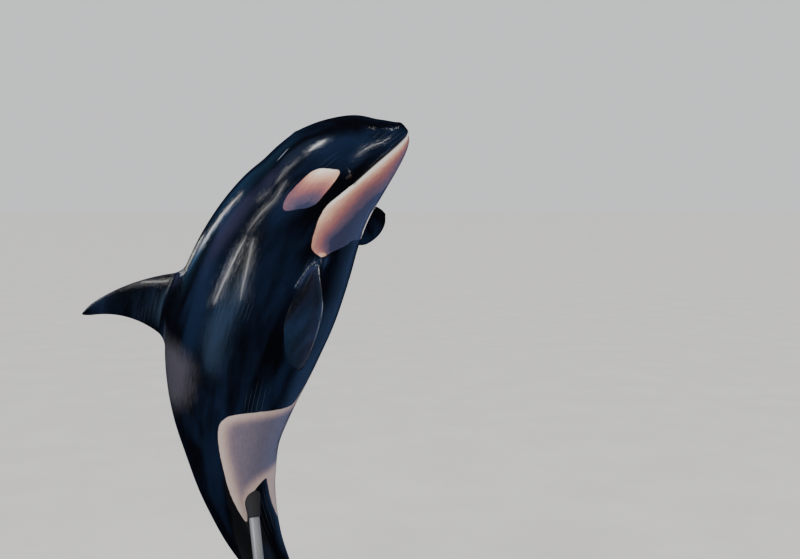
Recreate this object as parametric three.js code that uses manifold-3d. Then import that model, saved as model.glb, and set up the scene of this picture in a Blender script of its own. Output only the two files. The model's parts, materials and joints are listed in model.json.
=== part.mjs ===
// A leaping adult orca, life size, held by a plain display stand.
// Millimetres, +Z up. The origin is the middle of the stand's underside.
// The animal's right side faces -Y, its back faces -X and its belly +X.

import * as THREE from "three";
import { mergeVertices } from "three/addons/utils/BufferGeometryUtils.js";
import Module from "manifold-3d";

const wasm = await Module();
wasm.setup();

// Driving dimensions of the animal
const LENGTH = 6000; // tip of the snout to the flukes' trailing edge, along the bent axis
const LEAN = THREE.MathUtils.degToRad(18); // the head's end leans toward -Y
const GAP = 0.3; // between neighbouring pieces

// Where the pieces of the body meet, as fractions of LENGTH from the snout
const LENGTHS = {
  head: { from: 0, to: 0.185, steps: 18 },
  chest: { from: 0.185, to: 0.36, steps: 9 },
  belly: { from: 0.36, to: 0.64, steps: 12 },
  tail_stock: { from: 0.64, to: 0.895, steps: 11 },
  tail_end: { from: 0.895, to: 0.982, steps: 6 },
};

// Sections of the body: fractions of LENGTH, but for fullness, a superellipse's exponent
const STATIONS = [
  { at: 0.0, top: 0.0, bottom: 0.0, half: 0.0, fullness: 2.3 }, // tip of the snout
  { at: 0.004, top: 0.0157, bottom: 0.0121, half: 0.0157, fullness: 2.38 },
  { at: 0.012, top: 0.0201, bottom: 0.0213, half: 0.027, fullness: 2.4 },
  { at: 0.032, top: 0.036, bottom: 0.036, half: 0.043, fullness: 2.3 },
  { at: 0.055, top: 0.0561, bottom: 0.049, half: 0.053, fullness: 2.3 },
  { at: 0.085, top: 0.0711, bottom: 0.063, half: 0.0625, fullness: 2.3 }, // melon
  { at: 0.12, top: 0.0829, bottom: 0.0765, half: 0.072, fullness: 2.25 }, // blowhole
  { at: 0.18, top: 0.0928, bottom: 0.0955, half: 0.086, fullness: 2.2 }, // nape
  { at: 0.25, top: 0.1085, bottom: 0.111, half: 0.094, fullness: 2.15 }, // flippers
  { at: 0.33, top: 0.1195, bottom: 0.119, half: 0.098, fullness: 2.1 },
  { at: 0.42, top: 0.1275, bottom: 0.1135, half: 0.094, fullness: 2.05 }, // dorsal fin
  { at: 0.52, top: 0.1085, bottom: 0.095, half: 0.082, fullness: 2.0 },
  { at: 0.62, top: 0.079, bottom: 0.071, half: 0.063, fullness: 1.95 },
  { at: 0.72, top: 0.06, bottom: 0.055, half: 0.045, fullness: 1.85 },
  { at: 0.82, top: 0.043, bottom: 0.041, half: 0.029, fullness: 1.75 }, // tail stock
  { at: 0.9, top: 0.03, bottom: 0.028, half: 0.019, fullness: 1.7 },
  { at: 0.95, top: 0.0155, bottom: 0.0145, half: 0.0155, fullness: 1.9 }, // between the flukes
  { at: 0.985, top: 0.003, bottom: 0.003, half: 0.008, fullness: 2.0 },
  { at: 1.0, top: 0.001, bottom: 0.001, half: 0.004, fullness: 2.0 },
];

// The bend: the axis' angle from upright, in degrees, positive toward the belly's side
const BEND = [
  { at: 0.0, angle: 64 },
  { at: 0.12, angle: 51.5 },
  { at: 0.22, angle: 32 },
  { at: 0.35, angle: 19.5 },
  { at: 0.5, angle: 12.5 },
  { at: 0.65, angle: -3 },
  { at: 0.8, angle: -18 },
  { at: 0.92, angle: -34 },
  { at: 1.0, angle: -46 },
];

// Mouth and eyes
const MOUTH = { corner: 0.092, level: -0.0012, slope: -0.108, backAt: 0.135, backUp: -0.12 };
const EYE = { at: 0.0945, up: 0.001, radius: 32, proud: 9 };

// Dorsal fin: its outline over its height, as fractions of LENGTH, and its thickness
const FIN = {
  height: 0.13,
  lead: 0.363,
  sweep: 0.083,
  waist: 0.437,
  hook: 0.055,
  waistHeight: 0.43,
  flare: 0.011,
  flareHeight: 0.035,
  curve: 1.6,
  tipFrom: 0.86,
  thick: 62,
  thinning: 0.72,
  rootThick: 34,
  rootFade: 0.16,
  sink: 0.035,
};

// Flippers: a paddle, where it leaves the body, and the way each one points
const FLIPPER = {
  length: 970,
  breadth: 475,
  ahead: 0.4,
  rootBreadth: 0.44,
  widestAt: 0.58,
  thick: 78,
  thinning: 0.7,
  rootThick: 26,
  rootFade: 0.12,
  sink: 0.2,
};
const FLIPPER_ROOT = { at: 0.231, up: -0.049 };
const FLIPPER_POSE = {
  flipper_right: { tailward: 0.66, ventral: 0.26, outward: 0.8, roll: 31.5 },
  flipper_left: { tailward: -0.17, ventral: 0.58, outward: 0.8, roll: -14 },
};

// Flukes: outline over the half span, as fractions of LENGTH, and their thickness
const FLUKE = {
  halfSpan: 790,
  lead: 0.906,
  leadSweep: 0.093,
  leadCurve: 1.35,
  trail: 1.0,
  tipTrail: 0.012,
  notch: 0.014,
  notchWidth: 0.06,
  tipFrom: 0.9,
  thick: 92,
  tipThick: 14,
  droop: 26,
};

// Stand: a flat base, and two rods, each with a foot below and a cup against the skin
const BASE = { length: 2500, width: 2150, height: 70, corner: 140, chamfer: 12 };
const SNOUT = { x: 1235, y: -760, overBase: 5300 };
const RODS = {
  front: { at: 0.7, round: -118, radius: 50, footX: 10, footY: -400 },
  rear: { at: 0.855, round: -12, radius: 44, footX: -205, footY: 640 },
};
const FOOT = { radius: 165, height: 22, bolts: 6, boltCircle: 132 };
const COLLAR = { below: 1.5, above: 1.2, length: 105, buried: 40 }; // radii over the rod's
const BOLT = { radius: 17, height: 12, sides: 6, buried: 2 };
const CUP = { neck: 1.15, flare: 1.9, length: 300, into: 160 };

// Facets, and a size past the body's own for blocks that cut it
const AROUND = 32;
const FIN_STEPS = 12;
const FIN_AROUND = 18;
const ROUND_SIDES = 24;
const BEYOND = 1200;
const TAU = Math.PI * 2;

// A smooth curve through knots that may be unevenly spaced
function curve(knots, x, y) {
  const xs = knots.map(x);
  const ys = knots.map(y);
  const last = xs.length - 1;
  const rise = xs.slice(1).map((value, k) => (ys[k + 1] - ys[k]) / (value - xs[k]));
  const slope = xs.map((value, k) => {
    if (k === 0) return rise[0];
    if (k === last) return rise[last - 1];
    const before = value - xs[k - 1];
    const after = xs[k + 1] - value;
    return (rise[k - 1] * after + rise[k] * before) / (before + after);
  });
  return (place) => {
    const q = THREE.MathUtils.clamp(place, xs[0], xs[last]);
    let k = 0;
    while (k < last - 1 && q > xs[k + 1]) k += 1;
    const h = xs[k + 1] - xs[k];
    const t = (q - xs[k]) / h;
    const start = (2 * t ** 3 - 3 * t ** 2 + 1) * ys[k] + (t ** 3 - 2 * t ** 2 + t) * h * slope[k];
    const end = (3 * t ** 2 - 2 * t ** 3) * ys[k + 1] + (t ** 3 - t ** 2) * h * slope[k + 1];
    return start + end;
  };
}

// The sizes run over the square root of the place, which rounds the snout's tip
const sizeOf = (name) => curve(STATIONS, (row) => Math.sqrt(row.at), (row) => row[name]);
const PROFILE = {
  top: sizeOf("top"),
  bottom: sizeOf("bottom"),
  half: sizeOf("half"),
  fullness: sizeOf("fullness"),
};
const bendAngle = curve(BEND, (row) => row.at, (row) => THREE.MathUtils.degToRad(row.angle));

// The bent axis, added up in short steps from the snout
const AXIS_STEPS = 600;
const AXIS_END = 1.03;
const AXIS = [new THREE.Vector2(0, 0)];
for (let k = 0; k < AXIS_STEPS; k += 1) {
  const step = (AXIS_END / AXIS_STEPS) * LENGTH;
  const angle = bendAngle(((k + 0.5) / AXIS_STEPS) * AXIS_END);
  const ahead = new THREE.Vector2(-Math.sin(angle), -Math.cos(angle)).multiplyScalar(step);
  AXIS.push(AXIS[k].clone().add(ahead));
}

// A point of the middle plane: place along the axis, and millimetres toward the back
function middlePoint(at, up) {
  const angle = bendAngle(at);
  const step = THREE.MathUtils.clamp((at / AXIS_END) * AXIS_STEPS, 0, AXIS_STEPS - 1e-6);
  const k = Math.floor(step);
  const point = AXIS[k].clone().lerp(AXIS[k + 1], step - k);
  const beyond = Math.min(at, 0) * LENGTH; // ahead of the snout the axis runs on straight
  point.x += -Math.sin(angle) * beyond - Math.cos(angle) * up;
  point.y += -Math.cos(angle) * beyond + Math.sin(angle) * up;
  return point;
}

// A point of the body's own space: along the axis, toward the left side, toward the back
function bodyPoint(at, left, up) {
  const point = middlePoint(at, up);
  return new THREE.Vector3(point.x, left, point.y);
}

// A point of the skin: theta turns from the back toward the left side
function skinPoint(at, theta, grow = 0) {
  const root = Math.sqrt(Math.max(at, 0));
  const power = 2 / PROFILE.fullness(root);
  const c = Math.cos(theta);
  const s = Math.sin(theta);
  const height = (c >= 0 ? PROFILE.top(root) : PROFILE.bottom(root)) * LENGTH + grow;
  const half = PROFILE.half(root) * LENGTH + grow;
  const left = half * Math.sign(s) * Math.abs(s) ** power;
  const up = height * Math.sign(c) * Math.abs(c) ** power;
  return bodyPoint(at, left, up);
}

// The skin's theta at a height over the axis, on the left (side 1) or the right (side -1)
function thetaAt(at, up, side) {
  const root = Math.sqrt(at);
  const height = up >= 0 ? PROFILE.top(root) : PROFILE.bottom(root);
  const c = Math.sign(up) * (Math.abs(up) / height) ** (PROFILE.fullness(root) / 2);
  return Math.acos(c) * side;
}

// The skin's outward direction
function skinNormal(at, theta) {
  const along = skinPoint(at + 0.001, theta).sub(skinPoint(at - 0.001, theta));
  const round = skinPoint(at, theta + 0.01).sub(skinPoint(at, theta - 0.01));
  return round.cross(along).normalize();
}

// Turns a closed geometry's faces outward where they face inward
function facingOut(geometry) {
  const position = geometry.getAttribute("position");
  const index = Array.from(geometry.getIndex().array);
  const corner = [0, 1, 2].map(() => new THREE.Vector3());
  let volume = 0;
  for (let k = 0; k < index.length; k += 3) {
    corner.forEach((point, n) => point.fromBufferAttribute(position, index[k + n]));
    volume += corner[0].dot(corner[1].clone().cross(corner[2]));
  }
  if (volume < 0) geometry.setIndex(index.reverse());
  return geometry;
}

// A closed loft of equal rings, with a fan to a middle point at each end
function loft(rings, first, last) {
  const count = rings[0].length;
  const points = rings.flat().concat([first, last]);
  const lastRing = (rings.length - 1) * count;
  const index = [];
  for (let k = 0; k < count; k += 1) {
    const next = (k + 1) % count;
    for (let row = 0; row < lastRing; row += count) {
      const [a, b] = [row + k, row + next];
      index.push(a, b, b + count, a, b + count, a + count);
    }
    index.push(points.length - 2, next, k);
    index.push(points.length - 1, lastRing + k, lastRing + next);
  }
  const geometry = new THREE.BufferGeometry().setFromPoints(points);
  geometry.setIndex(index);
  return facingOut(geometry);
}

// A geometry as a solid for joining and cutting, and a solid as a geometry
function solidOf(geometry) {
  const bare = geometry.clone();
  bare.deleteAttribute("normal");
  bare.deleteAttribute("uv");
  const merged = mergeVertices(bare, 1e-3);
  const vertProperties = new Float32Array(merged.getAttribute("position").array);
  const triVerts = new Uint32Array(merged.getIndex().array);
  return new wasm.Manifold(new wasm.Mesh({ numProp: 3, vertProperties, triVerts }));
}

function geometryOf(solid) {
  const mesh = solid.getMesh();
  const geometry = new THREE.BufferGeometry();
  geometry.setAttribute("position", new THREE.BufferAttribute(mesh.vertProperties, 3));
  geometry.setIndex(new THREE.BufferAttribute(mesh.triVerts, 1));
  geometry.computeVertexNormals();
  return geometry;
}

// A length of the body between two places along the axis, larger by grow for cutting
function bodyLength({ from, to, steps }, grow = 0) {
  const inset = (GAP / 2 - grow) / LENGTH;
  const start = from > 0 ? Math.sqrt(from + inset) : 0.012;
  const end = Math.sqrt(to - inset);
  const rings = [];
  for (let r = 0; r <= steps; r += 1) {
    const at = (start + ((end - start) * r) / steps) ** 2;
    rings.push(
      Array.from({ length: AROUND }, (_, k) => skinPoint(at, ((k + 0.5) / AROUND) * TAU, grow))
    );
  }
  const first = from > 0 ? bodyPoint(start ** 2, 0, 0) : bodyPoint(-grow / LENGTH, 0, 0);
  return solidOf(loft(rings, first, bodyPoint(end ** 2, 0, 0)));
}

// A block across the middle plane, with an outline of places and heights
function acrossBlock(outline, fromLeft, toLeft) {
  const shape = new THREE.Shape(outline.map(([at, up]) => middlePoint(at, up * LENGTH)));
  const block = new THREE.ExtrudeGeometry(shape, { depth: toLeft - fromLeft, bevelEnabled: false });
  block.rotateX(Math.PI / 2);
  block.translate(0, toLeft, 0);
  return solidOf(block);
}

// Half thickness of a streamlined section, where the thickest place is one across
function streamline(chord) {
  const curved = 0.2969 * Math.sqrt(chord) - 0.126 * chord - 0.3516 * chord ** 2;
  return 5 * (curved + 0.2843 * chord ** 3 - 0.1036 * chord ** 4);
}

// A fin: streamlined sections between a leading and a trailing edge, closed at the tip
const EDGE = 3.5; // half thickness of a fin's edges
const CROWDING = 1.8; // draws the sections together toward the tip
function fin({ start, edges, thick, toPoint }) {
  const rings = [];
  for (let r = 0; r < FIN_STEPS; r += 1) {
    const v = start + (1 - start) * (1 - (1 - r / FIN_STEPS) ** CROWDING);
    const [lead, trail] = edges(v);
    rings.push(
      Array.from({ length: FIN_AROUND }, (_, k) => {
        const phi = (k / FIN_AROUND) * TAU;
        const chord = (1 - Math.cos(phi)) / 2;
        const half = thick(v) * streamline(chord) + EDGE * Math.abs(Math.sin(phi));
        return toPoint(lead + (trail - lead) * chord, v, Math.sign(Math.sin(phi)) * half);
      })
    );
  }
  const middle = (v) => (edges(v)[0] + edges(v)[1]) / 2;
  return solidOf(loft(rings, toPoint(middle(start), start, 0), toPoint(middle(1), 1, 0)));
}

// Draws the two edges together into a round tip over the last part of a fin
function roundTip([lead, trail], v, from) {
  const t = THREE.MathUtils.clamp((v - from) / (1 - from), 0, 1);
  const close = Math.sqrt(1 - t ** 2);
  const middle = (lead + trail) / 2;
  return [middle + (lead - middle) * close, middle + (trail - middle) * close];
}

// Half thickness of a fin, thicker where it grows from the body
function taper({ thick, thinning, rootThick, rootFade }, v) {
  const out = Math.max(v, 0);
  return (thick * (1 - thinning * out) + rootThick * Math.exp(-out / rootFade)) / 2;
}

// The hooked dorsal fin, flared where it grows from the back
function dorsalFin() {
  return fin({
    start: -FIN.sink / FIN.height,
    edges: (v) => {
      const out = Math.max(v, 0);
      const flare = FIN.flare * Math.exp((-out * FIN.height) / FIN.flareHeight);
      const lead = FIN.lead + FIN.sweep * out ** FIN.curve - flare;
      const trail = FIN.waist + FIN.hook * (out - FIN.waistHeight) ** 2 + flare;
      return roundTip([lead, trail], v, FIN.tipFrom);
    },
    thick: (v) => taper(FIN, v),
    toPoint: (at, v, side) => {
      return bodyPoint(at, side, (PROFILE.top(Math.sqrt(at)) + v * FIN.height) * LENGTH);
    },
  });
}

// A flipper: a paddle, turned at its root to the way it points
function flipper(name) {
  const pose = FLIPPER_POSE[name];
  const side = name.endsWith("left") ? 1 : -1;
  const paddle = fin({
    start: -FLIPPER.sink,
    edges: (v) => {
      const out = THREE.MathUtils.clamp(v, 0, 1);
      const grown = THREE.MathUtils.smoothstep(out, 0, FLIPPER.widestAt);
      const share = FLIPPER.rootBreadth + (1 - FLIPPER.rootBreadth) * grown;
      const breadth = FLIPPER.breadth * share * (1 - out ** 3.1) ** 0.56;
      return [-FLIPPER.ahead * breadth, (1 - FLIPPER.ahead) * breadth];
    },
    thick: (v) => taper(FLIPPER, v),
    toPoint: (chord, v, half) => new THREE.Vector3(v * FLIPPER.length, chord, half),
  });
  const angle = bendAngle(FLIPPER_ROOT.at);
  const tail = new THREE.Vector3(-Math.sin(angle), 0, -Math.cos(angle));
  const back = new THREE.Vector3(-Math.cos(angle), 0, Math.sin(angle));
  const outside = new THREE.Vector3(0, side, 0);
  const out = tail.clone().multiplyScalar(pose.tailward);
  out.addScaledVector(back, -pose.ventral).addScaledVector(outside, pose.outward).normalize();
  const across = tail.clone().multiplyScalar(0.9).sub(outside);
  across.addScaledVector(out, -across.dot(out)).normalize();
  across.applyAxisAngle(out, THREE.MathUtils.degToRad(pose.roll) * side);
  const turn = new THREE.Matrix4().makeBasis(out, across, out.clone().cross(across));
  turn.setPosition(skinPoint(FLIPPER_ROOT.at, thetaAt(FLIPPER_ROOT.at, FLIPPER_ROOT.up, side)));
  return paddle.transform(turn.elements);
}

// One fluke, with its half of the tail stock's end
function fluke(side) {
  const blade = fin({
    start: -0.03,
    edges: (v) => {
      const out = Math.max(v, 0);
      const notch = FLUKE.notch * Math.exp(-((out / FLUKE.notchWidth) ** 2));
      const trail = FLUKE.trail + FLUKE.tipTrail * out ** 2 - notch;
      const lead = FLUKE.lead + FLUKE.leadSweep * out ** FLUKE.leadCurve;
      return roundTip([lead, trail], v, FLUKE.tipFrom);
    },
    thick: (v) => THREE.MathUtils.lerp(FLUKE.thick, FLUKE.tipThick, Math.sqrt(Math.max(v, 0))) / 2,
    toPoint: (at, v, half) => {
      return bodyPoint(at, side * v * FLUKE.halfSpan, half - FLUKE.droop * Math.max(v, 0) ** 2);
    },
  });
  const across = side > 0 ? [GAP / 2, BEYOND] : [-BEYOND, -GAP / 2];
  const around = [[0.88, -0.1], [0.88, 0.1], [1.03, 0.1], [1.03, -0.1]];
  return blade.add(bodyLength(LENGTHS.tail_end)).intersect(acrossBlock(around, ...across));
}

// The lower jaw's share of the head: below the mouth line and ahead of the throat
function jawBlock(grow = 0) {
  const rise = grow / LENGTH;
  const mouth = (at) => MOUTH.level + MOUTH.slope * Math.max(at, 0) + rise;
  const places = [-0.03, 0, 0.03, 0.06, MOUTH.corner + rise];
  const outline = places.map((at) => [at, mouth(at)]);
  outline.push([MOUTH.backAt + rise, MOUTH.backUp], [0.07, -0.14], [-0.03, -0.12]);
  return acrossBlock(outline, -BEYOND, BEYOND);
}

// An eyeball, sunk in the head but for the part that stands proud
function eyePlace(side) {
  const theta = thetaAt(EYE.at, EYE.up, side);
  const normal = skinNormal(EYE.at, theta);
  const centre = skinPoint(EYE.at, theta).addScaledVector(normal, EYE.proud - EYE.radius);
  const turn = new THREE.Quaternion().setFromUnitVectors(new THREE.Vector3(0, 1, 0), normal);
  return { centre, turn };
}

function eyeball(radius) {
  return new THREE.SphereGeometry(radius, 16, 10);
}

// The animal
const INK = { color: 0x10131a, roughness: 0.24, metalness: 0 };
const CREAM = { color: 0xe9e2d6, roughness: 0.32, metalness: 0 };
const DARK_EYE = { color: 0x1a0f0a, roughness: 0.06, metalness: 0 };
const animal = new THREE.Group();
animal.position.set(SNOUT.x, SNOUT.y, BASE.height + SNOUT.overBase);
animal.rotation.x = LEAN;
animal.updateMatrix();

function addTo(group, name, geometry, look) {
  const mesh = new THREE.Mesh(geometry, new THREE.MeshStandardMaterial(look));
  mesh.name = name;
  group.add(mesh);
  return mesh;
}

const wholeHead = bodyLength(LENGTHS.head);
let head = wholeHead.subtract(jawBlock(GAP));
for (const [name, side] of [["eye_left", 1], ["eye_right", -1]]) {
  const { centre, turn } = eyePlace(side);
  const eye = addTo(animal, name, eyeball(EYE.radius), DARK_EYE);
  eye.position.copy(centre);
  eye.quaternion.copy(turn);
  eye.updateMatrix();
  head = head.subtract(solidOf(eyeball(EYE.radius + GAP)).transform(eye.matrix.elements));
}
addTo(animal, "head", geometryOf(head), INK);
addTo(animal, "lower_jaw", geometryOf(wholeHead.intersect(jawBlock())), CREAM);
for (const name of ["chest", "belly", "tail_stock"]) {
  addTo(animal, name, geometryOf(bodyLength(LENGTHS[name])), INK);
}

// What grows from the body, or is held against it, is cut to the skin
const skinCutter = ["head", "chest", "belly", "tail_stock"]
  .map((name) => bodyLength(LENGTHS[name], GAP))
  .reduce((sum, length) => sum.add(length));
addTo(animal, "dorsal_fin", geometryOf(dorsalFin().subtract(skinCutter)), INK);
for (const name of Object.keys(FLIPPER_POSE)) {
  addTo(animal, name, geometryOf(flipper(name).subtract(skinCutter)), INK);
}
addTo(animal, "fluke_left", geometryOf(fluke(1)), INK);
addTo(animal, "fluke_right", geometryOf(fluke(-1)), INK);

// The stand
const PAINT = { color: 0x3a3c3e, roughness: 0.5, metalness: 0.1 };
const STEEL = { color: 0xa9adb0, roughness: 0.35, metalness: 0.9 };
const stand = new THREE.Group();

function basePlate() {
  const [x, y, r] = [BASE.length / 2, BASE.width / 2, BASE.corner];
  const outline = new THREE.Shape();
  outline.absarc(x - r, y - r, r, 0, TAU / 4);
  outline.absarc(r - x, y - r, r, TAU / 4, TAU / 2);
  outline.absarc(r - x, r - y, r, TAU / 2, (TAU * 3) / 4);
  outline.absarc(x - r, r - y, r, (TAU * 3) / 4, TAU);
  return new THREE.ExtrudeGeometry(outline, {
    depth: BASE.height - 2 * BASE.chamfer,
    bevelSize: BASE.chamfer,
    bevelThickness: BASE.chamfer,
    bevelOffset: -BASE.chamfer,
    bevelSegments: 1,
    curveSegments: 8,
  });
}
addTo(stand, "stand_base", basePlate(), PAINT).position.z = BASE.chamfer;

// A round bar along a line, from one radius to another
function bar(from, direction, start, end, startRadius, endRadius) {
  const length = end - start;
  const geometry = new THREE.CylinderGeometry(endRadius, startRadius, length, ROUND_SIDES);
  geometry.translate(0, start + length / 2, 0);
  const turn = new THREE.Quaternion().setFromUnitVectors(new THREE.Vector3(0, 1, 0), direction);
  geometry.applyQuaternion(turn);
  geometry.translate(from.x, from.y, from.z);
  return solidOf(geometry);
}

// A foot plate with a ring of bolts and a slanting collar for the rod
function footPlate(foot, direction, rod) {
  const upright = new THREE.Vector3(0, 0, 1);
  const top = foot.clone().setZ(foot.z + FOOT.height);
  const [below, above] = [rod.radius * COLLAR.below, rod.radius * COLLAR.above];
  let plate = bar(foot, upright, 0, FOOT.height, FOOT.radius, FOOT.radius);
  plate = plate.add(bar(foot, direction, -COLLAR.buried, COLLAR.length, below, above));
  for (let k = 0; k < FOOT.bolts; k += 1) {
    const turn = ((k + 0.5) / FOOT.bolts) * TAU;
    const height = BOLT.height + BOLT.buried;
    const bolt = new THREE.CylinderGeometry(BOLT.radius, BOLT.radius, height, BOLT.sides);
    bolt.rotateX(Math.PI / 2);
    bolt.translate(
      top.x + FOOT.boltCircle * Math.cos(turn),
      top.y + FOOT.boltCircle * Math.sin(turn),
      top.z + BOLT.height - height / 2
    );
    plate = plate.add(solidOf(bolt));
  }
  const ground = new THREE.BoxGeometry(BEYOND, BEYOND, BEYOND);
  ground.translate(foot.x, foot.y, foot.z - BEYOND / 2);
  return plate.subtract(solidOf(ground));
}

const placedCutter = skinCutter.transform(animal.matrix.elements);
for (const [name, rod] of Object.entries(RODS)) {
  const foot = new THREE.Vector3(rod.footX, rod.footY, BASE.height + GAP);
  const contact = skinPoint(rod.at, THREE.MathUtils.degToRad(rod.round));
  contact.applyMatrix4(animal.matrix);
  const direction = contact.clone().sub(foot);
  const reach = direction.length();
  direction.normalize();
  const cupStart = reach + CUP.into - CUP.length;
  const [neck, mouth] = [rod.radius * CUP.neck, rod.radius * CUP.flare];
  const cup = bar(foot, direction, cupStart, reach + CUP.into, neck, mouth);
  const upright = bar(foot, direction, COLLAR.length + GAP, cupStart - GAP, rod.radius, rod.radius);
  addTo(stand, `stand_foot_${name}`, geometryOf(footPlate(foot, direction, rod)), STEEL);
  addTo(stand, `stand_rod_${name}`, geometryOf(upright), STEEL);
  addTo(stand, `stand_cup_${name}`, geometryOf(cup.subtract(placedCutter)), PAINT);
}

const model = new THREE.Group();
model.add(animal, stand);

export default model;
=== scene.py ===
"""The looks of a leaping orca on its display stand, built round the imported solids. Metres, +Z up."""

import json
import math
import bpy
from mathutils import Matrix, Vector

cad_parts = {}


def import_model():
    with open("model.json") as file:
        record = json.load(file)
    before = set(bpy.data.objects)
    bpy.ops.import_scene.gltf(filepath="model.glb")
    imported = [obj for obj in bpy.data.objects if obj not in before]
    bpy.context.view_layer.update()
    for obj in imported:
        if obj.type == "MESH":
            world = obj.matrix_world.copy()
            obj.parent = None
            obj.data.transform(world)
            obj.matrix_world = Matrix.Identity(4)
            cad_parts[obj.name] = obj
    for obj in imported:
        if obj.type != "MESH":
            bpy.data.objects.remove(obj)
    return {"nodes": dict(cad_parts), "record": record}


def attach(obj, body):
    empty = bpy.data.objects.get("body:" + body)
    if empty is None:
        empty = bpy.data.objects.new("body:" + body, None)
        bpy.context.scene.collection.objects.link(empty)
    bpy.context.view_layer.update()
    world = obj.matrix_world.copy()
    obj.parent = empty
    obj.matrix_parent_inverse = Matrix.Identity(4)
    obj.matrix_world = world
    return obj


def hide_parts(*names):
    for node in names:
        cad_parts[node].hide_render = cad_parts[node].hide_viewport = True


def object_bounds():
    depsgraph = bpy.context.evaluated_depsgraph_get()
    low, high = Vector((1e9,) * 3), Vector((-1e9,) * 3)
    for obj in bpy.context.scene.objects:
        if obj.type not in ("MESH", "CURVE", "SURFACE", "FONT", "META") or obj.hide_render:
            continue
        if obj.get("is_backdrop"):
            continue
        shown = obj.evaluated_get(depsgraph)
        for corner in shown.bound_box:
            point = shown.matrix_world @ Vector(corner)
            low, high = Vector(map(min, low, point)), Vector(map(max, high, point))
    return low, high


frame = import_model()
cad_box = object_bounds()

from types import SimpleNamespace as Named

import bmesh
import bpy
import numpy as np
from mathutils import Matrix, Vector, kdtree
from mathutils.bvhtree import BVHTree

# Driving dimensions of the animal, the same as the solids'
LENGTH = 6.0  # tip of the snout to the flukes' trailing edge, along the bent axis
LEAN = math.radians(18)  # the head's end leans toward -Y
SNOUT = np.array([1.235, -0.76, 5.37])

# Sections: place along the axis, top, bottom and half width as fractions of LENGTH, and fullness
STATIONS = np.array([
    [0.000, 0.0000, 0.0000, 0.0000, 2.30],  # tip of the snout
    [0.004, 0.0157, 0.0121, 0.0157, 2.38],
    [0.012, 0.0201, 0.0213, 0.0270, 2.40],
    [0.032, 0.0360, 0.0360, 0.0430, 2.30],
    [0.055, 0.0561, 0.0490, 0.0530, 2.30],
    [0.085, 0.0711, 0.0630, 0.0625, 2.30],  # melon
    [0.120, 0.0829, 0.0765, 0.0720, 2.25],  # blowhole
    [0.180, 0.0928, 0.0955, 0.0860, 2.20],  # nape
    [0.250, 0.1085, 0.1110, 0.0940, 2.15],  # flippers
    [0.330, 0.1195, 0.1190, 0.0980, 2.10],
    [0.420, 0.1275, 0.1135, 0.0940, 2.05],  # dorsal fin
    [0.520, 0.1085, 0.0950, 0.0820, 2.00],
    [0.620, 0.0790, 0.0710, 0.0630, 1.95],
    [0.720, 0.0600, 0.0550, 0.0450, 1.85],
    [0.820, 0.0430, 0.0410, 0.0290, 1.75],  # tail stock
    [0.900, 0.0300, 0.0280, 0.0190, 1.70],
    [0.950, 0.0155, 0.0145, 0.0155, 1.90],  # between the flukes
    [0.985, 0.0030, 0.0030, 0.0080, 2.00],
    [1.000, 0.0010, 0.0010, 0.0040, 2.00],
])

# The bend: place along the axis, and its angle from upright, positive toward the belly's side
BEND = np.array([
    [0.00, 64.0], [0.12, 51.5], [0.22, 32.0], [0.35, 19.5], [0.50, 12.5],
    [0.65, -3.0], [0.80, -18.0], [0.92, -34.0], [1.00, -46.0],
])

MOUTH = Named(level=-0.0012, slope=-0.108, corner=0.092, drop=0.35)
EYE = Named(at=0.0945, up=0.001, radius=0.032, proud=0.009)
FIN = Named(
    height=0.13, lead=0.363, sweep=0.083, waist=0.437, hook=0.055, waist_height=0.43,
    flare=0.011, flare_height=0.035, curve=1.6, tip_from=0.86,
    thick=0.062, thinning=0.72, root_thick=0.034, root_fade=0.16, sink=0.035,
)
FLIPPER = Named(
    at=0.231, up=-0.049, length=0.97, breadth=0.475, ahead=0.4, root_breadth=0.44, widest_at=0.58,
    tip_start=3.1, tip_round=0.56,
    thick=0.078, thinning=0.7, root_thick=0.026, root_fade=0.12, sink=0.2,
)
FLIPPER_POSE = {
    -1: Named(tailward=0.66, ventral=0.26, outward=0.8, roll=31.5),
    1: Named(tailward=-0.17, ventral=0.58, outward=0.8, roll=-14),
}
FLUKE = Named(
    half_span=0.79, lead=0.906, lead_sweep=0.093, lead_curve=1.35, trail=1.0,
    tip_trail=0.012, notch=0.014, notch_width=0.06, tip_from=0.9,
    thick=0.092, tip_thick=0.014, droop=0.026,
)
EDGE = 0.0035  # half thickness of a fin's edges
ROOT_EDGE = 0.018  # how much more it is where the fin grows from the body
TAIL_END = 0.982

RIGHT, LEFT = -1, 1


# Shape of the body

def curve(x, y):
    """A smooth curve through knots that may be unevenly spaced."""
    gap = np.diff(x)
    rise = np.diff(y) / gap
    inner = (rise[:-1] * gap[1:] + rise[1:] * gap[:-1]) / (gap[:-1] + gap[1:])
    slope = np.concatenate([rise[:1], inner, rise[-1:]])

    def value(place):
        q = np.clip(place, x[0], x[-1])
        k = np.clip(np.searchsorted(x, q, side="right") - 1, 0, len(gap) - 1)
        t = (q - x[k]) / gap[k]
        start = (2 * t**3 - 3 * t**2 + 1) * y[k] + (t**3 - 2 * t**2 + t) * gap[k] * slope[k]
        end = (3 * t**2 - 2 * t**3) * y[k + 1] + (t**3 - t**2) * gap[k] * slope[k + 1]
        return start + end

    return value


STATION_ROOTS = np.sqrt(STATIONS[:, 0])
top_of, bottom_of, half_of, fullness_of = (curve(STATION_ROOTS, column) for column in STATIONS[:, 1:].T)
bend_of = curve(BEND[:, 0], np.radians(BEND[:, 1]))

AXIS_STEPS, AXIS_END = 600, 1.03
AXIS_AT = np.linspace(0, AXIS_END, AXIS_STEPS + 1)
steps_angle = bend_of((AXIS_AT[:-1] + AXIS_AT[1:]) / 2)
steps_ahead = -np.stack([np.sin(steps_angle), np.cos(steps_angle)], 1) * AXIS_AT[1] * LENGTH
AXIS = np.vstack([[0, 0], np.cumsum(steps_ahead, 0)])


def axis_point(at):
    return [np.interp(at, AXIS_AT, values) for values in AXIS.T]


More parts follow.
